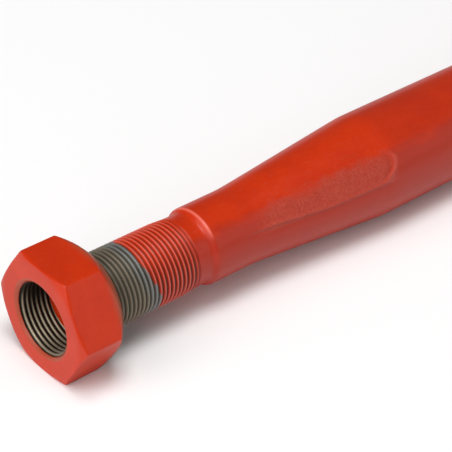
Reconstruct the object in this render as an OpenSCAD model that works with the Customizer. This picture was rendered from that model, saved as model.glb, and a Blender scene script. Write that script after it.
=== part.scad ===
// Tubular steel link bar: one swaged tube with a threaded end and a hexagon nut at each end.
// The bar lies along X with its middle at the origin. Both nuts have flats facing up and down.

/* [Tube] */
// Length of the tube between its two end faces
tube_len = 600; // [450:5:1500]
// Outside diameter of the tube between the cones
tube_d = 44.5; // [37:0.5:60]
// Wall thickness of the tube between the cones
tube_wall = 5; // [4:0.1:6.5]
// Diameter of the hole through each drawn-down end
bore_d = 19; // [14:0.5:23]
// Length of each cone between the drawn-down end and the full tube
cone_len = 68.5; // [50:0.5:90]
// Length of the plain drawn-down part between the shoulder and the cone
neck_len = 22.5; // [15:0.5:30]
// Bevel on the edges of each end face
end_bevel = 1; // [0.3:0.1:1.5]

/* [Thread] */
// Nominal diameter of the thread
thread_d = 30; // [24:0.5:36]
// Distance from one thread turn to the next
pitch = 2; // [1.5:0.25:2.5]
// Length of the thread, from the end face
thread_len = 51; // [36:1:64]
// Length of the turned relief behind the thread
relief_len = 3; // [1:0.5:5]
// Depth of the relief under the thread's crests
relief_depth = 0.6; // [0.2:0.1:1]
// Length of the sloping shoulder behind the relief
shoulder_len = 4; // [2:0.5:6]
// Height of the shoulder over the thread's crests
shoulder_height = 0.95; // [0.5:0.05:2]

/* [Nut] */
// Width of the nut across its flats
nut_af = 46; // [38:0.5:56]
// Height of the nut along the bar
nut_height = 23; // [18:0.5:28]
// How far each nut stands out past the end face of the tube
nut_out = 14; // [4:0.5:18]
// Radial running clearance between the nut's hole and the thread's crests
nut_clearance = 0.06; // [0.03:0.01:0.1]
// Radial width of the countersink at both mouths of the nut's hole
countersink = 0.75; // [0.3:0.05:1.5]
// Angle of the bevel on the corners of the nut's outer face
face_bevel_angle = 24; // [15:1:35]
// Angle of the bevel around the nut's inner face
back_bevel_angle = 42; // [25:1:45]
// Width of the flat ring left on the nut's inner face
back_land = 3.6; // [2:0.1:5]

/* [Hidden] */
$fn = 96;
eps = 0.01;
paint = "#cf3a1e";

crest_r = thread_d / 2;
thread_depth = 0.6134 * pitch;
root_r = crest_r - thread_depth;
crest_flat = pitch / 8;
flank_w = thread_depth * tan(30);
turns = floor((thread_len - 2 * end_bevel) / pitch);

tube_r = tube_d / 2;
bore_r = bore_d / 2;
neck_r = crest_r + shoulder_height;
relief_end = thread_len + relief_len;
neck_start = relief_end + shoulder_len;
cone_start = neck_start + neck_len;
cone_end = cone_start + cone_len;

hole_r = crest_r + nut_clearance;
mouth_r = hole_r + countersink;
corner_r = nut_af / 2 / cos(30);
face_land_r = nut_af / 2;
back_land_r = mouth_r + back_land;
face_bevel = (corner_r - face_land_r) * tan(face_bevel_angle);
back_bevel = (corner_r - back_land_r) * tan(back_bevel_angle);

// Outline of one thread groove, whose near flank starts at distance s from the end face
function groove(s) = [
    [s, crest_r],
    [s + flank_w, root_r],
    [s + pitch - crest_flat - flank_w, root_r],
    [s + pitch - crest_flat, crest_r]
];

// Outside of one end as [distance from the end face, radius], from the end face to the full tube
end_outside = concat(
    [[0, crest_r - end_bevel], [end_bevel, crest_r]],
    [for (i = [0:turns - 1]) each groove(end_bevel + crest_flat + i * pitch)],
    [
        [thread_len, crest_r],
        [thread_len + relief_depth, crest_r - relief_depth],
        [relief_end, crest_r - relief_depth],
        [neck_start, neck_r],
        [cone_start, neck_r],
        [cone_end, tube_r]
    ]
);

// Inside of one end, from the end face to the full bore of the tube
end_inside = [
    [0, bore_r + end_bevel],
    [end_bevel, bore_r],
    [cone_start, bore_r],
    [cone_end, tube_r - tube_wall]
];

// The same points measured from the middle of the bar, towards the near end or the far end
function near(points) = [for (p = points) [p[1], p[0] - tube_len / 2]];
function far(points) = [for (i = [len(points) - 1:-1:0]) [points[i][1], tube_len / 2 - points[i][0]]];
function reversed(points) = [for (i = [len(points) - 1:-1:0]) points[i]];

// Turns a shape made along Z so that it runs along X
module along_x() {
    rotate([0, 90, 0]) children();
}

module link_tube() {
    color(paint)
    along_x()
    rotate_extrude()
    polygon(concat(
        near(end_outside),
        far(end_outside),
        reversed(concat(near(end_inside), far(end_inside)))
    ));
}

// Solid of revolution that bevels the nut's corners, from its outer face at z = 0
module nut_bevels() {
    rotate_extrude()
    polygon([
        [0, 0],
        [face_land_r, 0],
        [corner_r, face_bevel],
        [corner_r, nut_height - back_bevel],
        [back_land_r, nut_height],
        [0, nut_height]
    ]);
}

// Hole of the nut with a countersink at both mouths
module nut_hole() {
    translate([0, 0, -eps]) cylinder(r = hole_r, h = nut_height + 2 * eps);
    translate([0, 0, -eps]) cylinder(r1 = mouth_r + eps, r2 = hole_r, h = countersink + eps);
    translate([0, 0, nut_height - countersink]) cylinder(r1 = hole_r, r2 = mouth_r + eps, h = countersink + eps);
}

// Hexagon nut along X, with its outer face at x = 0 and two flats facing up and down
module nut() {
    along_x()
    difference() {
        intersection() {
            rotate([0, 0, 30]) cylinder(r = corner_r, h = nut_height, $fn = 6);
            nut_bevels();
        }
        nut_hole();
    }
}

module near_nut() {
    color(paint)
    translate([-tube_len / 2 - nut_out, 0, 0]) nut();
}

module far_nut() {
    color(paint)
    mirror([1, 0, 0]) translate([-tube_len / 2 - nut_out, 0, 0]) nut();
}

link_tube();
near_nut();
far_nut();
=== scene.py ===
import math

import bpy
import numpy as np
from mathutils import Matrix, Vector


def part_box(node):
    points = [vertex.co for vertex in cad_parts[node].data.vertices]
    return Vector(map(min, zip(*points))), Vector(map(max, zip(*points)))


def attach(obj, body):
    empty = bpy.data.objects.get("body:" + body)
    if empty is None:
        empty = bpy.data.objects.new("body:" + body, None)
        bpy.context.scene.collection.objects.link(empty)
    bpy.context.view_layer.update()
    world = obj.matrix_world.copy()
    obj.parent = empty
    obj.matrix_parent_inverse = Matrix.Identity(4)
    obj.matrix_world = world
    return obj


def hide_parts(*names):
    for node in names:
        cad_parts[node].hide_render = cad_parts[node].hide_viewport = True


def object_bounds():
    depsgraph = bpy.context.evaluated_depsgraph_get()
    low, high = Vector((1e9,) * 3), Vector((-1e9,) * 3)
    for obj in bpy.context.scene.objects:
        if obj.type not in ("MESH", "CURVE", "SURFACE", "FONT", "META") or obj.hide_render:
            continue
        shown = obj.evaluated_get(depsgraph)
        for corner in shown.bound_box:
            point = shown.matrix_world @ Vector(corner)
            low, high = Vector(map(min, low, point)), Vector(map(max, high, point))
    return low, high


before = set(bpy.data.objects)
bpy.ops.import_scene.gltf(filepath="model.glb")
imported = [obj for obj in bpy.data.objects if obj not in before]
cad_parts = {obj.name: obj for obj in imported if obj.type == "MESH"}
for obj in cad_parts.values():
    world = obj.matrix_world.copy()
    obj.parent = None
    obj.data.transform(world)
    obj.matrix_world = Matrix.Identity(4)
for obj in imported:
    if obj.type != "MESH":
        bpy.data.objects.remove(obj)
cad_low, cad_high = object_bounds()

# All lengths are in metres. The bar lies along X, with its middle at the origin.
MM = 0.001
TAU = 2 * math.pi

# ---- thread, the same on the tube and in the nuts ----
# Phases are distances along the bar from the middle of a crest of the tube's thread, in pitches: the
# crest's edge, the root's edge, and the edge of the nut's own crest, which lies over the root.
PITCH = 2 * MM
CREST_R = 15 * MM
THREAD_DEPTH = 0.6134 * PITCH
CREST_PHASE = 1 / 16
ROOT_PHASE = CREST_PHASE + THREAD_DEPTH / (math.sqrt(3) * PITCH)
NUT_CREST_PHASE = 3 / 8
FIRST_CREST = 1.75 * MM

# Rows of one turn: the edges of crest and root, and two rows on each flank between them.
TURN_PHASES = np.array((-CREST_PHASE, CREST_PHASE, 0.18, 0.30, ROOT_PHASE, 1 - ROOT_PHASE, 0.70, 0.82))
TURN_ROWS = len(TURN_PHASES)

# ---- tube, as distances from an end face towards the middle ----
tube_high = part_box("link_tube")[1]
HALF_LEN = tube_high[0]
TUBE_R = tube_high[1]
WALL = 5 * MM
BORE_R = 9.5 * MM
END_BEVEL = 1 * MM
THREAD_LEN = 51 * MM
RELIEF_DEPTH = 0.6 * MM
RELIEF_END = 56.4 * MM
NECK_START = 58.1 * MM
NECK_R = 15.95 * MM
CONE_START = 80.5 * MM
CONE_END = 149 * MM

# ---- nuts ----
nut_low, nut_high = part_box("near_nut")
NUT_FACE_X = nut_low[0]
NUT_HEIGHT = nut_high[0] - nut_low[0]
NUT_HALF_AF = nut_high[2]
HOLE_R = CREST_R + 0.05 * MM
NUT_MINOR_R = HOLE_R - (NUT_CREST_PHASE - CREST_PHASE) * PITCH * math.sqrt(3)
MOUTH_R = 15.8 * MM
MOUTH_ANGLE = math.radians(45)
FACE_BEVEL = math.radians(24)
BACK_BEVEL = math.radians(42)
BACK_LAND_R = 19.4 * MM
WALL_MIDDLE_R = 19 * MM

# ---- marks of the swaging dies, with angles about X in degrees ----
SEAM_START = 71 * MM
SEAM_END = 119 * MM
SEAM_ANGLE = 155.0
SEAM_DROP = 11.0
# Angle above the seam of the painted highlight along the seam's lit edge.
HIGHLIGHT_ABOVE_SEAM = 3.5
HOOK_DEPTH = CONE_END + 1 * MM
HOOK_SWEEP = 6 * MM
HOOK_MIDDLE = 143.0
HOOK_REACH = 18.0

# ---- where the enamel stops on the thread: at the top of the bar, and how much deeper it stops below ----
ENAMEL_START = 24.8 * MM
ENAMEL_LAG = 5.5 * MM


# ================================================================ shape helpers

def smoothstep(low, high, value):
    """0 below low, 1 above high, and the cubic 3t^2 - 2t^3 between them."""
    t = np.clip((value - low) / (high - low), 0, 1)
    return t * t * (3 - 2 * t)


def soft_ramp(value, width):
    """0 below zero, then rising one for one, with the corner rounded over about width."""
    return 0.5 * (value + np.sqrt(value * value + width * width))


def bell(value, centre, width):
    """Bell curve exp(-((value - centre) / width)^2)."""
    return np.exp(-(((value - centre) / width) ** 2))


def signed_power(value, power):
    """The size of value raised to power, with the sign of value kept."""
    return np.sign(value) * np.abs(value) ** power


def crest_distance(depth, angle):
    """Distance in turns from the nearest crest of a right-hand thread, at a depth from the end face and
    an angle about X: 0 on a crest, 0.5 midway between two."""
    phase = (depth - FIRST_CREST) / PITCH - angle / TAU
    return np.abs(phase - np.round(phase))


def wound_stations(stations, period, twist, angles):
    """Grid of places along a closed outline. Row i starts at stations[i] at angle 0 and moves in
    proportion to the angle, so that after a whole turn it reaches stations[i + twist]."""
    rows = len(stations)
    ahead = np.arange(rows) + twist
    reached = stations[ahead % rows] + np.floor_divide(ahead, rows) * period
    return stations[:, None] + (reached - stations)[:, None] * angles[None, :] / TAU


def wound_piece(name, x, radius, angles, twist):
    """Closed surface through the grid of points at (x, radius, angle) about the X axis. The last column
    joins the first one twist rows further on, and the last row joins the first row."""
    rows, columns = x.shape
    points = np.stack((x, radius * np.cos(angles), radius * np.sin(angles)), axis=-1)
    row, column = np.meshgrid(np.arange(rows), np.arange(columns), indexing="ij")
    row_beside = np.where(column == columns - 1, row + twist, row)
    column_beside = (column + 1) % columns
    corners = (
        row * columns + column,
        row_beside % rows * columns + column_beside,
        (row_beside + 1) % rows * columns + column_beside,
        (row + 1) % rows * columns + column,
    )
    mesh = bpy.data.meshes.new(name)
    mesh.from_pydata(points.reshape(-1, 3), [], np.stack(corners, axis=-1).reshape(-1, 4))
    mesh.polygons.foreach_set("use_smooth", np.ones(len(mesh.polygons), dtype=bool))
    mesh.update()
    piece = bpy.data.objects.new(name, mesh)
    bpy.context.scene.collection.objects.link(piece)
    return piece


# ================================================================ tube

def tube_outside(depth):
    """Radius of the tube at a depth from its end face: the thread's crests, a turned relief behind them,
    a rounded shoulder, the plain neck, and a straight cone with soft ends up to the full tube."""
    slope = (TUBE_R - NECK_R) / (CONE_END - CONE_START)
    cone = slope * (soft_ramp(depth - CONE_START, 3 * MM) - soft_ramp(depth - CONE_END, 2 * MM))
    relief = RELIEF_DEPTH * smoothstep(THREAD_LEN - 8 * MM, THREAD_LEN + 2 * MM, depth)
    rise = (NECK_R - CREST_R + RELIEF_DEPTH) / (NECK_START - RELIEF_END)
    shoulder = rise * (soft_ramp(depth - RELIEF_END, 0.6 * MM) - soft_ramp(depth - NECK_START, 0.5 * MM))
    return CREST_R - relief + shoulder + cone


def tube_inside(depth):
    """Radius of the hollow: a straight hole through the neck, then a cone up to the full tube's bore."""
    slope = (TUBE_R - WALL - BORE_R) / (CONE_END - CONE_START)
    return BORE_R + slope * (soft_ramp(depth - CONE_START, 3 * MM) - soft_ramp(depth - CONE_END, 3 * MM))


def tube_outline():
    """The tube's closed outline as a fine table of (place, x, radius): outside from the near end to the
    far end, far end face, hollow back again, near end face. The end faces are half superellipses."""
    step = 0.1 * MM
    reach = HALF_LEN - END_BEVEL
    x_out = np.linspace(-reach, reach, int(2 * reach / step))
    turn = np.linspace(0, math.pi, 60)[1:-1]
    middle_r = (CREST_R + BORE_R) / 2
    half_wall = (CREST_R - BORE_R) / 2
    x_face = reach + END_BEVEL * signed_power(np.sin(turn), 0.5)
    r_face = middle_r + half_wall * signed_power(np.cos(turn), 0.5)
    x = np.concatenate((x_out, x_face, x_out[::-1], -x_face))
    r = np.concatenate((tube_outside(HALF_LEN - np.abs(x_out)), r_face,
                        tube_inside(HALF_LEN - np.abs(x_out[::-1])), r_face[::-1]))
    closed_x = np.append(x, x[0])
    closed_r = np.append(r, r[0])
    place = np.concatenate(([0], np.cumsum(np.hypot(np.diff(closed_x), np.diff(closed_r)))))
    return place, closed_x, closed_r, len(x_out), len(x_face)


def tube_stations(place, x, out_count, face_count):
    """Places of the rows at angle 0. Thread rows lie on the edges of crests and roots, and carry on
    through the relief; the rows between the threads are closest at the shoulders."""
    thread_end = THREAD_LEN + 1.5 * MM
    turns = np.arange(-1, int(thread_end / PITCH) + 1)[:, None]
    near_depth = (FIRST_CREST + (turns + TURN_PHASES) * PITCH).ravel()
    far_depth = (FIRST_CREST + (turns + 0.5 - TURN_PHASES[::-1]) * PITCH).ravel()
    near_depth = near_depth[(near_depth > END_BEVEL) & (near_depth < thread_end - 0.1 * MM)]
    far_depth = np.sort(far_depth[(far_depth > END_BEVEL) & (far_depth < thread_end - 0.1 * MM)])
    plain_depth = np.concatenate((
        np.linspace(thread_end, RELIEF_END - 1 * MM, 4)[:-1],
        np.arange(RELIEF_END - 1 * MM, NECK_START + 1.2 * MM, 0.22 * MM),
        np.linspace(NECK_START + 1.2 * MM, NECK_START + 3 * MM, 4)[:-1],
        np.linspace(NECK_START + 3 * MM, CONE_START - 3 * MM, 7)[:-1],
        np.linspace(CONE_START - 3 * MM, CONE_END - 10 * MM, 26)[:-1],
        np.linspace(CONE_END - 10 * MM, CONE_END + 6 * MM, 26)[:-1],
        np.linspace(CONE_END + 6 * MM, HALF_LEN, 10),
    ))
    plain_x = np.concatenate((plain_depth - HALF_LEN, (HALF_LEN - plain_depth[:-1])[::-1]))
    x_rows = np.concatenate((near_depth - HALF_LEN, plain_x, (HALF_LEN - far_depth)[::-1]))
    outside = np.interp(x_rows, x[:out_count], place[:out_count])
    far_face = place[out_count:out_count + face_count:4]
    inner_start = out_count + face_count
    inside = np.linspace(place[inner_start], place[inner_start + out_count - 1], 40)
    near_face = place[inner_start + out_count:-1:4]
    return np.concatenate((outside, far_face, inside, near_face))


def die_line(depth):
    """Angle in degrees of the seam between two swaging dies, which drops along the cone."""
    return SEAM_ANGLE + SEAM_DROP * smoothstep(SEAM_START, SEAM_END, depth)


def tube_columns(count):
    """Angles of the columns, closest where the dies left their seam on either end."""
    degrees = np.linspace(0, 360, 3601)
    density = 1 + 3.4 * bell(degrees, 161, 11) + 3.4 * bell(degrees, 19, 11)
    share = np.concatenate(([0], np.cumsum(density)))[:-1]
    return np.radians(np.interp(np.arange(count) * share[-1] / count, share, degrees))


def die_marks(depth, angle):
    """Marks that the swaging dies left on one end: a shallow step along the cone that turns up and
    across where the cone meets the full tube, and a slightly flat band beside it."""
    degrees = np.degrees(angle % TAU)
    line = die_line(depth)
    along = smoothstep(SEAM_START, SEAM_START + 14 * MM, depth)
    along = along * (1 - smoothstep(CONE_END - 6 * MM, CONE_END, depth))
    step = 0.34 * MM * np.tanh((line - degrees) / 1.2) * bell(degrees, line, 9)
    lip = 0.26 * MM * bell(degrees, line - 2.4, 1.6)
    across = HOOK_DEPTH - HOOK_SWEEP * ((degrees - HOOK_MIDDLE) / HOOK_REACH) ** 2
    hook = 0.55 * MM * bell(depth, across, 1.1 * MM) * smoothstep(131, 141, degrees)
    hook = hook * (1 - smoothstep(160, 166, degrees))
    groove = -0.30 * MM * bell(depth, across - 2.8 * MM, 1.6 * MM) * smoothstep(128, 136, degrees)
    groove = groove * (1 - smoothstep(156, 162, degrees))
    flat = -0.24 * MM * bell(degrees, line - 17, 11)
    return along * (step + lip + flat) + hook + groove


def make_tube():
    """The swaged tube. Its radius is the outline's, cut by the thread's grooves, whose depth runs out
    before the relief, and changed a little by the die marks."""
    place, table_x, table_r, out_count, face_count = tube_outline()
    angles = tube_columns(140)
    stations = tube_stations(place, table_x, out_count, face_count)
    where = wound_stations(stations, place[-1], TURN_ROWS, angles) % place[-1]
    x = np.interp(where, place, table_x)
    radius = np.interp(where, place, table_r)
    depth = HALF_LEN - np.abs(x)
    angle = np.where(x < 0, angles[None, :], math.pi - angles[None, :])
    outside = where < place[out_count - 1]
    groove = (crest_distance(depth, angle) - CREST_PHASE) / (ROOT_PHASE - CREST_PHASE)
    run_out = 1 - smoothstep(THREAD_LEN - 1.2 * MM, THREAD_LEN + 0.3 * MM, depth)
    thread_r = CREST_R - THREAD_DEPTH * np.clip(groove, 0, 1) * run_out
    threaded = (radius > BORE_R + 2.5 * MM) & (depth < THREAD_LEN + 1 * MM)
    radius = np.where(threaded, np.minimum(radius, thread_r), radius)
    radius = radius + np.where(outside, die_marks(depth, angle), 0)
    return wound_piece("swaged_tube", x, np.minimum(radius, TUBE_R), angles, TURN_ROWS)


# ================================================================ nuts

def hexagon_radius(angles):
    """Radius of a hexagon with two level flats and slightly rounded corners: the flats' distance divided
    by a high-power mean of the cosines to the three pairs of flats."""
    power = 100
    normals = math.pi / 2 + np.arange(3)[:, None] * math.pi / 3
    total = (np.abs(np.cos(angles[None, :] - normals)) ** power).sum(axis=0)
    return NUT_HALF_AF / total ** (1 / power)


def nut_columns():
    """Angles of the columns, closest at the six corners."""
    half = np.array((0, 0.4, 0.8, 1.25, 1.8, 2.5, 3.5, 5, 7.5, 11, 15, 19, 23, 27))
    sector = np.concatenate((half, [30], 60 - half[:0:-1]))
    return np.radians((np.arange(6)[:, None] * 60 + sector[None, :]).ravel())


def bevel_reach(angle, radius):
    """Distance from the middle of the nut's wall to a bevel that meets the nut's end at radius."""
    return math.cos(angle) * NUT_HEIGHT / 2 + math.sin(angle) * abs(radius - WALL_MIDDLE_R)


def nut_section(ray, flats_r):
    """Distance along a ray from the middle of the nut's wall to its rounded outline: one over the
    high-power mean of the ray's share of the way to each straight side, which rounds every edge."""
    power = 46
    half_height = NUT_HEIGHT / 2
    sides = (
        (-1, 0, half_height),
        (1, 0, half_height),
        (0, 1, flats_r - WALL_MIDDLE_R),
        (0, -1, WALL_MIDDLE_R - HOLE_R),
        (-math.cos(FACE_BEVEL), math.sin(FACE_BEVEL), bevel_reach(FACE_BEVEL, NUT_HALF_AF)),
        (math.cos(BACK_BEVEL), math.sin(BACK_BEVEL), bevel_reach(BACK_BEVEL, BACK_LAND_R)),
        (-math.cos(MOUTH_ANGLE), -math.sin(MOUTH_ANGLE), bevel_reach(MOUTH_ANGLE, MOUTH_R)),
        (math.cos(MOUTH_ANGLE), -math.sin(MOUTH_ANGLE), bevel_reach(MOUTH_ANGLE, MOUTH_R)),
    )
    total = 0
    for normal_x, normal_r, reach in sides:
        share = (normal_x * np.cos(ray) + normal_r * np.sin(ray)) / reach
        total = total + np.maximum(share, 0) ** power
    length = total ** (-1 / power)
    return half_height + length * np.cos(ray), WALL_MIDDLE_R + length * np.sin(ray)


def nut_rays():
    """First ray, last ray and the outside rays between them, closest where the nut has its edges."""
    first = math.atan2(HOLE_R - WALL_MIDDLE_R, -NUT_HEIGHT / 2) + TAU
    last = math.atan2(HOLE_R - WALL_MIDDLE_R, NUT_HEIGHT / 2)
    fine = np.linspace(first, last, 4000)
    degrees = np.degrees(fine)
    mouths = bell(degrees, 195, 4) + bell(degrees, -16, 4)
    edges = mouths + bell(degrees, 152, 13) + bell(degrees, 40, 18) + bell(degrees, 2, 4)
    density = 1 + 6 * np.clip(edges, 0, 1)
    share = np.concatenate(([0], np.cumsum(density)))[:-1]
    return first, last, np.interp(np.linspace(0, share[-1], 150)[:-1], share, fine)


def make_near_nut():
    """The near nut. The outside follows rays from the middle of the wall. The hole's rows follow the
    thread, whose ridges stand in from the hole's wall and are cut back by the countersinks."""
    angles = nut_columns()
    first, last, outside_rays = nut_rays()
    span = first - last
    face_depth = NUT_FACE_X + HALF_LEN
    first_turn = math.floor((face_depth - FIRST_CREST) / PITCH) - 1
    turns = np.arange(first_turn, first_turn + int(NUT_HEIGHT / PITCH) + 4)[:, None]
    hole_depth = (FIRST_CREST + (turns + TURN_PHASES) * PITCH).ravel() - face_depth
    hole_depth = np.sort(hole_depth[(hole_depth > 0) & (hole_depth < NUT_HEIGHT)])[::-1]
    stations = np.concatenate((first - outside_rays, span + (NUT_HEIGHT - hole_depth) / NUT_HEIGHT))
    where = wound_stations(stations, span + 1, -TURN_ROWS, angles) % (span + 1)
    in_hole = where > span
    hole_x = NUT_HEIGHT * (1 - (where - span))
    hole_ray = np.arctan2(HOLE_R - WALL_MIDDLE_R, hole_x - NUT_HEIGHT / 2)
    ray = np.where(in_hole, hole_ray, first - where)
    x, radius = nut_section(ray, hexagon_radius(angles)[None, :])
    away = crest_distance(x + face_depth, angles[None, :])
    ridge = np.clip((away - CREST_PHASE) / (NUT_CREST_PHASE - CREST_PHASE), 0, 1)
    thread_r = HOLE_R - (HOLE_R - NUT_MINOR_R) * ridge
    face_cone = MOUTH_R - x / math.tan(MOUTH_ANGLE)
    back_cone = MOUTH_R - (NUT_HEIGHT - x) / math.tan(MOUTH_ANGLE)
    cut_r = np.maximum(thread_r, np.maximum(face_cone, back_cone))
    radius = np.where(in_hole, np.minimum(radius, cut_r), radius)
    return wound_piece("near_hexagon_nut", x + NUT_FACE_X, radius, angles, -TURN_ROWS)


def make_far_nut(near_piece):
    """The far nut: the near nut turned half round about the upright axis, which keeps its thread's hand."""
    mesh = near_piece.data.copy()
    mesh.name = "far_hexagon_nut"
    mesh.transform(Matrix.Rotation(math.pi, 4, "Z"))
    piece = bpy.data.objects.new("far_hexagon_nut", mesh)
    bpy.context.scene.collection.objects.link(piece)
    return piece


# ================================================================ node helpers

FLOAT = "NodeSocketFloat"
COLOUR = "NodeSocketColor"
VECTOR = "NodeSocketVector"


def set_inputs(node, values):
    """Puts a number or colour on each named or numbered input of a node, or links a socket to it."""
    tree = node.id_data
    for key, value in values.items():
        if isinstance(value, bpy.types.NodeSocket):
            tree.links.new(value, node.inputs[key])
        else:
            node.inputs[key].default_value = value
    return node


def maths(tree, operation, *values):
    """Math node that returns its value."""
    node = tree.nodes.new("ShaderNodeMath")
    node.operation = operation
    set_inputs(node, dict(enumerate(values)))
    return node.outputs[0]


def product(tree, first, *others):
    """Product of two or more numbers."""
    for other in others:
        first = maths(tree, "MULTIPLY", first, other)
    return first


def added(tree, first, second):
    """Sum of two numbers."""
    return maths(tree, "ADD", first, second)


def less(tree, first, second):
    """First number less the second."""
    return maths(tree, "SUBTRACT", first, second)


def larger(tree, first, second):
    """The larger of two numbers."""
    return maths(tree, "MAXIMUM", first, second)


def mapped(tree, value, low, high, to_low=0.0, to_high=1.0):
    """Smooth map of value from low..high to to_low..to_high, where low may also lie above high."""
    if low > high:
        low, high, to_low, to_high = high, low, to_high, to_low
    node = tree.nodes.new("ShaderNodeMapRange")
    node.interpolation_type = "SMOOTHSTEP"
    set_inputs(node, {0: value, 1: low, 2: high, 3: to_low, 4: to_high})
    return node.outputs[0]


def noise(tree, vector, scale, detail=3.0, roughness=0.55, distortion=0.0):
    """Noise texture that returns its value, 0 to 1."""
    node = tree.nodes.new("ShaderNodeTexNoise")
    set_inputs(node, {
        "Vector": vector,
        "Scale": scale,
        "Detail": detail,
        "Roughness": roughness,
        "Distortion": distortion,
    })
    return node.outputs["Fac"]


def stretched(tree, vector, scale):
    """Coordinates scaled by a different amount on each axis."""
    node = tree.nodes.new("ShaderNodeMapping")
    set_inputs(node, {"Vector": vector, "Scale": scale})
    return node.outputs[0]


def blended(tree, factor, first, second):
    """Colour between first and second by factor."""
    node = tree.nodes.new("ShaderNodeMix")
    node.data_type = "RGBA"
    set_inputs(node, {0: factor, 6: first, 7: second})
    return node.outputs[2]


def between(tree, factor, first, second):
    """Number between first and second by factor."""
    node = tree.nodes.new("ShaderNodeMix")
    set_inputs(node, {0: factor, 2: first, 3: second})
    return node.outputs[0]


def new_group(name, inputs, outputs):
    """Shader node group with the named inputs and outputs; returns it with its input sockets and its
    output node."""
    group = bpy.data.node_groups.new(name, "ShaderNodeTree")
    for label, (kind, default) in inputs.items():
        socket = group.interface.new_socket(label, in_out="INPUT", socket_type=kind)
        if default is not None:
            socket.default_value = default
    for label, kind in outputs.items():
        group.interface.new_socket(label, in_out="OUTPUT", socket_type=kind)
    return group, group.nodes.new("NodeGroupInput").outputs, group.nodes.new("NodeGroupOutput")


def placed(tree, group, values):
    """A group placed in a tree with its own values; returns its outputs."""
    node = tree.nodes.new("ShaderNodeGroup")
    node.node_tree = group
    return set_inputs(node, values).outputs


# ================================================================ effects shared by the finishes

def make_end_place_group():
    """Place on the bar: depth from the nearer end face, distance from the axis, and height over the
    axis and side as shares of that distance, with the far end read as the near end turned round."""
    group, given, result = new_group(
        "place_on_bar",
        {"Position": (VECTOR, None), "Half Length": (FLOAT, 0.3)},
        {"Depth": FLOAT, "Radius": FLOAT, "Height": FLOAT, "Side": FLOAT},
    )
    parts = set_inputs(group.nodes.new("ShaderNodeSeparateXYZ"), {0: given["Position"]}).outputs
    squares = added(group, product(group, parts["Y"], parts["Y"]), product(group, parts["Z"], parts["Z"]))
    radius = maths(group, "SQRT", squares)
    turned = product(group, maths(group, "SIGN", parts["X"]), parts["Y"], -1.0)
    set_inputs(result, {
        "Depth": less(group, given["Half Length"], maths(group, "ABSOLUTE", parts["X"])),
        "Radius": radius,
        "Height": maths(group, "DIVIDE", parts["Z"], radius),
        "Side": maths(group, "DIVIDE", turned, radius),
    })
    return group


def make_enamel_group():
    """Sprayed enamel: slow change of tone, fine dusty speckle and orange peel."""
    group, given, result = new_group(
        "sprayed_enamel",
        {
            "Position": (VECTOR, None),
            "Tone": (COLOUR, (0.5, 0.03, 0.006, 1)),
            "Deep Tone": (COLOUR, (0.4, 0.02, 0.004, 1)),
            "Dust Tone": (COLOUR, (0.6, 0.12, 0.08, 1)),
            "Dust": (FLOAT, 0.2),
            "Gloss": (FLOAT, 0.35),
        },
        {"Color": COLOUR, "Roughness": FLOAT, "Height": FLOAT},
    )
    cloud = noise(group, given["Position"], 60.0, 4.0, 0.62)
    grain = noise(group, given["Position"], 900.0, 4.0, 0.6)
    peel = noise(group, given["Position"], 1500.0, 2.0, 0.5)
    tone = blended(group, mapped(group, cloud, 0.36, 0.62), given["Tone"], given["Deep Tone"])
    dusty = product(group, mapped(group, grain, 0.5, 0.75), given["Dust"])
    set_inputs(result, {
        "Color": blended(group, dusty, tone, given["Dust Tone"]),
        "Roughness": added(group, given["Gloss"], product(group, grain, 0.12)),
        "Height": added(group, peel, product(group, cloud, 3.0)),
    })
    return group


def make_steel_group():
    """Bare cut steel with painted shade: the dark Painted Shade tone where Lit Share is low, metal where it
    is high, fine turning lines and small nicks."""
    group, given, result = new_group(
        "cut_steel_with_painted_shade",
        {
            "Position": (VECTOR, None),
            "Metal": (COLOUR, (0.2, 0.18, 0.15, 1)),
            "Painted Shade": (COLOUR, (0.02, 0.015, 0.01, 1)),
            "Lift": (FLOAT, 0.5),
        },
        {"Color": COLOUR, "Roughness": FLOAT, "Height": FLOAT},
    )
    stain = noise(group, given["Position"], 260.0, 4.0, 0.6)
    lines = noise(group, stretched(group, given["Position"], (6000.0, 300.0, 300.0)), 1.0, 2.0)
    nicks = mapped(group, noise(group, given["Position"], 700.0, 3.0, 0.6), 0.56, 0.70)
    lifted = product(group, given["Lift"], between(group, stain, 0.7, 1.25))
    set_inputs(result, {
        # Painted shade: the dark shade tone lies where the lit share is low, in the thread's roots and
        # other shaded places.
        "Color": blended(group, mapped(group, lifted, 0.1, 0.85), given["Painted Shade"], given["Metal"]),
        "Roughness": between(group, stain, 0.34, 0.6),
        "Height": less(group, lines, product(group, nicks, 3.0)),
    })
    return group


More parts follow.
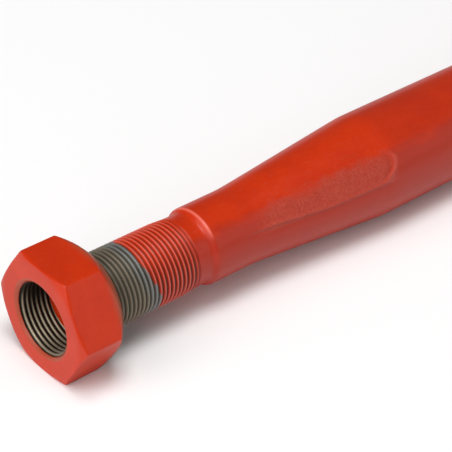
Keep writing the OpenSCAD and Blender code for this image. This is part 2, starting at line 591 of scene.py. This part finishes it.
def make_swaged_group():
    """Swaged end under the enamel: a darker lower front side, whose upper limit wanders, a wrinkled skin
    along that side of the cone, lighter in streaks of dust and painted sheen, and painted highlights on the
    lit edges of the dies' seam and of the hook at its end."""
    group, given, result = new_group(
        "swaged_skin",
        {
            "Position": (VECTOR, None),
            "Depth": (FLOAT, 0.1),
            "Height": (FLOAT, 1.0),
            "Side": (FLOAT, 0.0),
        },
        {"Dull": FLOAT, "Wrinkle Sheen": FLOAT, "Painted Highlight": FLOAT, "Height": FLOAT},
    )
    depth, height = given["Depth"], given["Height"]
    wander = noise(group, stretched(group, given["Position"], (60.0, 160.0, 160.0)), 1.0, 3.0)
    lifted = added(group, height, product(group, less(group, wander, 0.5), 0.5))
    lower = product(group, mapped(group, lifted, 0.86, 0.60), mapped(group, given["Side"], 0.2, -0.2))
    past_cone = mapped(group, depth, CONE_END - 6 * MM, CONE_END + 8 * MM, 0.0, 0.4)

    # Wrinkled skin on the band: bumps, and lighter colour streaks that are dust and a painted sheen.
    wrinkle = noise(group, stretched(group, given["Position"], (1300.0, 700.0, 700.0)), 1.0, 3.0, 0.6, 1.4)
    cone_begun = mapped(group, depth, CONE_START - 4 * MM, CONE_START + 6 * MM)
    cone_left = mapped(group, depth, CONE_END + 2 * MM, CONE_END - 6 * MM)
    on_cone = product(group, cone_begun, cone_left)
    on_band = product(group, on_cone, mapped(group, height, 0.24, 0.36), lower)

    degrees = maths(group, "DEGREES", maths(group, "ARCTAN2", height, given["Side"]))
    # Painted highlights: a lighter line along the lit edge just above the dies' seam, and along the hook at
    # its end.
    seam = mapped(group, depth, SEAM_START, SEAM_END, SEAM_ANGLE, SEAM_ANGLE + SEAM_DROP)
    off_seam = maths(group, "ABSOLUTE", less(group, added(group, degrees, HIGHLIGHT_ABOVE_SEAM), seam))
    seam_highlight = product(group, mapped(group, off_seam, 3.2, 0.8), on_cone)
    swing = maths(group, "POWER", product(group, less(group, degrees, HOOK_MIDDLE), 1 / HOOK_REACH), 2.0)
    across = less(group, HOOK_DEPTH - 0.4 * MM, product(group, swing, HOOK_SWEEP))
    off_hook = maths(group, "ABSOLUTE", less(group, depth, across))
    hook_span = product(group, mapped(group, degrees, 133.0, 142.0), mapped(group, degrees, 161.0, 153.0))
    hook_highlight = product(group, mapped(group, off_hook, 1.6 * MM, 0.4 * MM), hook_span)

    set_inputs(result, {
        "Dull": larger(group, lower, past_cone),
        "Painted Highlight": larger(group, product(group, seam_highlight, 0.35), hook_highlight),
        "Wrinkle Sheen": product(group, mapped(group, wrinkle, 0.42, 0.62, 0.35, 1.0), on_band),
        "Height": product(group, wrinkle, on_band, 20.0),
    })
    return group


PLACE = make_end_place_group()
SWAGED = make_swaged_group()
ENAMEL = make_enamel_group()
STEEL = make_steel_group()


# ================================================================ finishes

RED = (0.560, 0.029, 0.001, 1)
RED_DEEP = (0.512, 0.024, 0.001, 1)
# Dust on the enamel, also used as a painted sheen on the wrinkled band.
RED_DUST_AND_SHEEN = (0.520, 0.080, 0.045, 1)
# Painted highlight on the seam, the hook, the shoulder's upper edge and the painted thread's crests.
RED_PAINTED_HIGHLIGHT = (0.820, 0.170, 0.120, 1)
RED_DULL = (0.345, 0.023, 0.010, 1)
# Painted shade in the grooves of the painted thread, darker and browner lower down.
GROOVE_SHADE = (0.300, 0.028, 0.008, 1)
LOWER_GROOVE_SHADE = (0.090, 0.028, 0.014, 1)
STEEL_BLUE = (0.212, 0.220, 0.214, 1)
STEEL_BROWN = (0.225, 0.188, 0.135, 1)
STEEL_TAN = (0.350, 0.300, 0.212, 1)
# Painted shade in the roots of the tube's bare thread.
TUBE_ROOT_SHADE = (0.085, 0.074, 0.054, 1)
# Painted shadow of the nut on the bare thread beside it.
SHADED_OIL = (0.070, 0.062, 0.045, 1)
# Painted shade in the nut's hole: in the roots, on the upper wall and deep in.
NUT_HOLE_SHADE = (0.018, 0.012, 0.007, 1)
THIN_COAT = (0.260, 0.095, 0.052, 1)
ENAMEL_GLOSS = 0.27
TUBE_STEEL_METAL = 0.35
NUT_STEEL_METAL = 0.75
BUMP_DEPTH = 0.02 * MM


def finish_material(name, finish):
    """Material with one Principled BSDF, whose colour, roughness, metal and height come from finish. Its
    shine falls towards grazing angles, as on a dusty surface."""
    material = bpy.data.materials.new(name)
    material.use_nodes = True
    tree = material.node_tree
    shader = tree.nodes["Principled BSDF"]
    position = tree.nodes.new("ShaderNodeTexCoord").outputs["Object"]
    colour, roughness, metal, height = finish(tree, position)
    grazing = tree.nodes.new("ShaderNodeLayerWeight").outputs["Facing"]
    bump = tree.nodes.new("ShaderNodeBump")
    set_inputs(bump, {"Height": height, "Strength": 1.0, "Distance": BUMP_DEPTH})
    set_inputs(shader, {
        "Base Color": colour,
        "Roughness": roughness,
        "Metallic": metal,
        "Specular IOR Level": mapped(tree, grazing, 0.30, 0.95, 0.30, 0.03),
        "Normal": bump.outputs[0],
    })
    return material


def red_enamel(tree, position, dust):
    """The bar's red enamel with a share of dust; returns the group's outputs."""
    return placed(tree, ENAMEL, {
        "Position": position,
        "Tone": RED,
        "Deep Tone": RED_DEEP,
        "Dust Tone": RED_DUST_AND_SHEEN,
        "Dust": dust,
        "Gloss": ENAMEL_GLOSS,
    })


def bare_steel(tree, position, metal, shade_tone, lift):
    """Bare steel of a thread; returns the group's outputs."""
    return placed(tree, STEEL, {"Position": position, "Metal": metal, "Painted Shade": shade_tone, "Lift": lift})


def tube_enamel_mask(tree, position, place, past, painted_end):
    """1 where the tube is enamelled: past the ragged edge on the thread, on the end face, in the bore,
    and on overspray specks just before the edge."""
    specks = mapped(tree, noise(tree, position, 1300.0, 3.0), 0.60, 0.66)
    near_edge = mapped(tree, past, -4.5 * MM, -1.0 * MM)
    lower_side = mapped(tree, place["Height"], 0.7, 0.3)
    enamel = larger(tree, mapped(tree, past, -0.35 * MM, 0.25 * MM), painted_end)
    enamel = larger(tree, enamel, product(tree, specks, near_edge, lower_side, 0.6))
    return larger(tree, enamel, mapped(tree, place["Radius"], 13.2 * MM, 12.8 * MM))


def tube_bare_tone(tree, depth, past, ragged):
    """Tone of the tube's bare thread: brown, blue-grey before the enamel, and a painted shadow of the nut
    beside it.
    """
    greyed = added(tree, past, product(tree, ragged, 2 * MM))
    tone = blended(tree, mapped(tree, greyed, -6.5 * MM, -1.5 * MM), STEEL_BROWN, STEEL_BLUE)
    # Painted shadow of the nut on the thread just behind it.
    nut_shadow = mapped(tree, added(tree, depth, product(tree, ragged, 3 * MM)), 16 * MM, 10.5 * MM)
    return blended(tree, product(tree, nut_shadow, 0.7), tone, SHADED_OIL)


def tube_enamel_tone(tree, position, place, coat, band, lift):
    """Tone of the tube's enamel: darker on the lower front side, with dust and a painted sheen on the
    wrinkles, painted highlights on the dies' seam, on the upper edge of the shoulder and on the thread's
    crests, and painted shade in its grooves, browner lower down."""
    depth, height = place["Depth"], place["Height"]
    tone = blended(tree, product(tree, band["Dull"], 0.75), coat["Color"], RED_DULL)
    # Dust and a painted sheen in streaks on the wrinkled band.
    tone = blended(tree, product(tree, band["Wrinkle Sheen"], 0.62), tone, RED_DUST_AND_SHEEN)
    # Painted highlights on the dies' seam and on the hook.
    tone = blended(tree, product(tree, band["Painted Highlight"], 0.20), tone, RED_PAINTED_HIGHLIGHT)
    # Painted highlight on the upper edge of the shoulder.
    edge_begun = mapped(tree, depth, NECK_START - 0.8 * MM, NECK_START - 0.1 * MM)
    edge_left = mapped(tree, depth, NECK_START + 0.9 * MM, NECK_START + 0.2 * MM)
    shoulder_highlight = product(tree, edge_begun, edge_left, mapped(tree, height, 0.62, 0.86), 0.7)
    tone = blended(tree, shoulder_highlight, tone, RED_PAINTED_HIGHLIGHT)
    before_relief = mapped(tree, depth, THREAD_LEN, THREAD_LEN - 3 * MM)
    in_thread = product(tree, before_relief, mapped(tree, depth, 0.8 * MM, 1.6 * MM))
    # Painted highlight on the crests of the painted thread.
    crests = product(tree, in_thread, mapped(tree, lift, 0.7, 1.0), 0.45)
    tone = blended(tree, crests, tone, RED_PAINTED_HIGHLIGHT)
    # Painted shade in the grooves, darker and browner lower down.
    groove_shade_tone = blended(tree, mapped(tree, height, 0.85, 0.2), GROOVE_SHADE, LOWER_GROOVE_SHADE)
    groove_shade = product(tree, in_thread, mapped(tree, lift, 0.6, 0.05), 0.9)
    return blended(tree, groove_shade, tone, groove_shade_tone)


def tube_finish(tree, position):
    """Enamel all over but for the thread's outer part, which the nut covered while the bar was sprayed."""
    place = placed(tree, PLACE, {"Position": position, "Half Length": HALF_LEN})
    depth, height = place["Depth"], place["Height"]
    ragged = noise(tree, position, 420.0, 3.0)
    lag = mapped(tree, height, 1.0, -0.3, 0.0, ENAMEL_LAG)
    edge = added(tree, added(tree, lag, ENAMEL_START), product(tree, ragged, 1.6 * MM))
    past = less(tree, depth, edge)
    painted_end = mapped(tree, depth, 1.3 * MM, 0.7 * MM)
    lift = mapped(tree, place["Radius"], CREST_R - THREAD_DEPTH, CREST_R)
    enamel = tube_enamel_mask(tree, position, place, past, painted_end)
    coat = red_enamel(tree, position, 0.25)
    bare = bare_steel(tree, position, tube_bare_tone(tree, depth, past, ragged), TUBE_ROOT_SHADE, lift)
    band = placed(tree, SWAGED, {
        "Position": position,
        "Depth": depth,
        "Height": height,
        "Side": place["Side"],
    })
    coat_tone = tube_enamel_tone(tree, position, place, coat, band, lift)
    return (
        blended(tree, enamel, bare["Color"], coat_tone),
        between(tree, enamel, bare["Roughness"], coat["Roughness"]),
        between(tree, enamel, TUBE_STEEL_METAL, 0.0),
        between(tree, enamel, bare["Height"], added(tree, coat["Height"], band["Height"])),
    )


def nut_thread_lit_share(tree, place, from_face):
    """How much of the nut's thread shows metal rather than painted shade: its crests do, less so high up,
    and least deep in and high up, under a painted shadow of the rim.
    """
    height = place["Height"]
    # Painted shade in the roots of the nut's thread.
    crests = mapped(tree, place["Radius"], HOLE_R, NUT_MINOR_R)
    # Painted shade: the upper wall of the hole is darker.
    above = mapped(tree, height, 0.62, -0.6, 0.10, 0.95)
    # Painted shadow of the nut's rim deep in the hole, everywhere but low down.
    deep_in = mapped(tree, from_face, 2.5 * MM, 7.5 * MM)
    rim_shadow = product(tree, mapped(tree, height, -0.75, 0.05), deep_in, 0.68)
    return product(tree, crests, above, less(tree, 1.0, rim_shadow))


def nut_finish(tree, position):
    """Enamel outside, thin on the countersink and on the inner bevel, and a bare thread inside with painted
    shade.
    """
    place = placed(tree, PLACE, {"Position": position, "Half Length": HALF_LEN})
    depth, radius = place["Depth"], place["Radius"]
    ragged = product(tree, noise(tree, position, 300.0, 3.0), 0.7 * MM)
    from_face = less(tree, depth, NUT_FACE_X + HALF_LEN)
    ragged_radius = less(tree, radius, ragged)
    in_mouth = mapped(tree, added(tree, from_face, ragged), 1.9 * MM, 1.2 * MM)
    enamel = larger(tree, mapped(tree, ragged_radius, 14.9 * MM, 15.3 * MM), in_mouth)
    near_hole = mapped(tree, ragged_radius, 16.3 * MM, 15.4 * MM)
    back = mapped(tree, added(tree, depth, ragged), 2.6 * MM, 7.4 * MM)
    coat = red_enamel(tree, position, 0.15)
    bare = bare_steel(tree, position, STEEL_TAN, NUT_HOLE_SHADE, nut_thread_lit_share(tree, place, from_face))
    worn = larger(tree, product(tree, near_hole, 0.5), product(tree, back, 0.75))
    coat_tone = blended(tree, worn, coat["Color"], THIN_COAT)
    return (
        blended(tree, enamel, bare["Color"], coat_tone),
        between(tree, enamel, bare["Roughness"], coat["Roughness"]),
        between(tree, enamel, NUT_STEEL_METAL, 0.0),
        between(tree, enamel, bare["Height"], coat["Height"]),
    )


# ================================================================ pieces

tube = make_tube()
near_nut = make_near_nut()
far_nut = make_far_nut(near_nut)

tube.data.materials.append(finish_material("red_enamel_and_bare_thread", tube_finish))
nut_material = finish_material("red_enamel_nut", nut_finish)
near_nut.data.materials.append(nut_material)
far_nut.data.materials.append(nut_material)

for piece, node, body, slot in (
    (tube, "link_tube", "bar", "painted_tube"),
    (near_nut, "near_nut", "near_nut_body", "painted_nut"),
    (far_nut, "far_nut", "far_nut_body", "painted_nut"),
):
    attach(piece, body)
    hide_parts(node)


# ================================================================ studio

FLOOR_REACH = 6.0
LENS = 135.8
CAMERA_TURN = -43.35
CAMERA_RISE = 36.07
CAMERA_ROLL = 3.45
CAMERA_PLACE = (NUT_FACE_X - 0.2780, -0.3889, 0.3919)


def make_floor():
    """Plain pale floor under the nuts."""
    size = FLOOR_REACH
    level = cad_low[2]
    mesh = bpy.data.meshes.new("studio_floor")
    corners = [(-size, -size, level), (size, -size, level), (size, size, level), (-size, size, level)]
    mesh.from_pydata(corners, [], [(0, 1, 2, 3)])
    floor = bpy.data.objects.new("studio_floor", mesh)
    bpy.context.scene.collection.objects.link(floor)
    material = bpy.data.materials.new("pale_floor")
    material.use_nodes = True
    set_inputs(material.node_tree.nodes["Principled BSDF"], {
        "Base Color": (0.95, 0.95, 0.95, 1),
        "Roughness": 1.0,
        "Specular IOR Level": 0.0,
    })
    mesh.materials.append(material)


def make_area_light(name, place, target, size, power):
    """Square soft box at place that faces target."""
    data = bpy.data.lights.new(name, "AREA")
    data.shape = "SQUARE"
    data.size = size
    data.energy = power
    light = bpy.data.objects.new(name, data)
    light.location = place
    light.rotation_euler = (Vector(target) - Vector(place)).to_track_quat("-Z", "Y").to_euler()
    bpy.context.scene.collection.objects.link(light)


def make_world(brightness):
    """Even pale surroundings."""
    world = bpy.data.worlds.new("pale_studio")
    world.use_nodes = True
    set_inputs(world.node_tree.nodes["Background"], {"Color": (1, 1, 1, 1), "Strength": brightness})
    bpy.context.scene.world = world


def make_camera():
    """Long lens that looks down the bar past its near nut."""
    data = bpy.data.cameras.new("camera")
    data.lens = LENS
    data.sensor_width = 36
    data.clip_start = 0.01
    data.clip_end = 50
    camera = bpy.data.objects.new("camera", data)
    azimuth, elevation, roll = np.radians((CAMERA_TURN, CAMERA_RISE, CAMERA_ROLL)).tolist()
    back = Vector((math.sin(azimuth) * math.cos(elevation), -math.cos(azimuth) * math.cos(elevation),
                   math.sin(elevation)))
    level = Vector((math.cos(azimuth), math.sin(azimuth), 0))
    right = Matrix.Rotation(roll, 3, back) @ level
    camera.matrix_world = Matrix.LocRotScale(
        Vector(CAMERA_PLACE),
        Matrix((right, back.cross(right), back)).transposed(),
        None,
    )
    bpy.context.scene.collection.objects.link(camera)
    bpy.context.scene.camera = camera


near_end = (-HALF_LEN, 0, 0)
make_floor()
make_area_light("key_box", (-3.70, -0.40, 2.40), near_end, 4.4, 158)
make_area_light("top_box", (-0.66, -0.60, 4.40), near_end, 2.0, 112)
make_area_light("side_box", (2.00, -3.60, 1.90), near_end, 3.0, 26)
make_world(0.12)
make_camera()
bpy.context.scene.view_settings.view_transform = "Standard"
